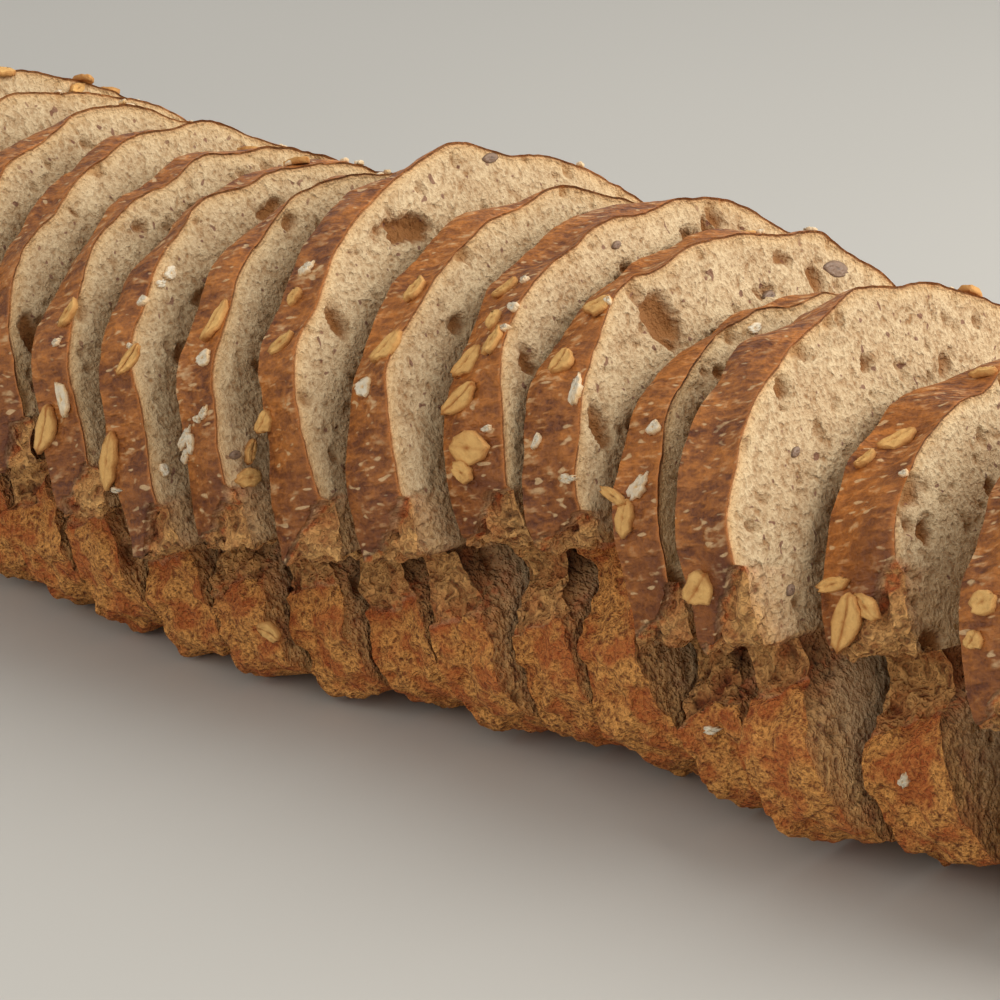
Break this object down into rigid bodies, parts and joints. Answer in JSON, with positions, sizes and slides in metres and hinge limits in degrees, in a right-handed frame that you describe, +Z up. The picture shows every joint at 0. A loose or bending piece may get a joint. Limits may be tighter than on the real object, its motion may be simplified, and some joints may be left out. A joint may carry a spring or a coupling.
{
  "type": "sliced wholegrain loaf",
  "caption": "Oval wholegrain loaf cut into slices that lean back in a row, with a domed oat-topped crust and a torn ledge along one side.",
  "frame": {"origin": "on the floor under the middle of the row of slices", "axes": "+X along the row towards the near heel and the cut faces, -Y the crust side with the torn ledge, +Z up"},
  "size_m": [0.295, 0.1132, 0.0804],
  "materials": {
    "bread": "matte, porous crumb with a browned crust"
  },
  "bodies": {
    "root": {"slice_01": "bread", "slice_02": "bread", "slice_03": "bread", "slice_04": "bread", "slice_05": "bread", "slice_06": "bread", "slice_07": "bread", "slice_08": "bread", "slice_09": "bread", "slice_10": "bread", "slice_11": "bread", "slice_12": "bread", "slice_13": "bread", "slice_14": "bread", "slice_15": "bread", "slice_16": "bread", "slice_17": "bread", "slice_18": "bread"}
  },
  "joints": []
}
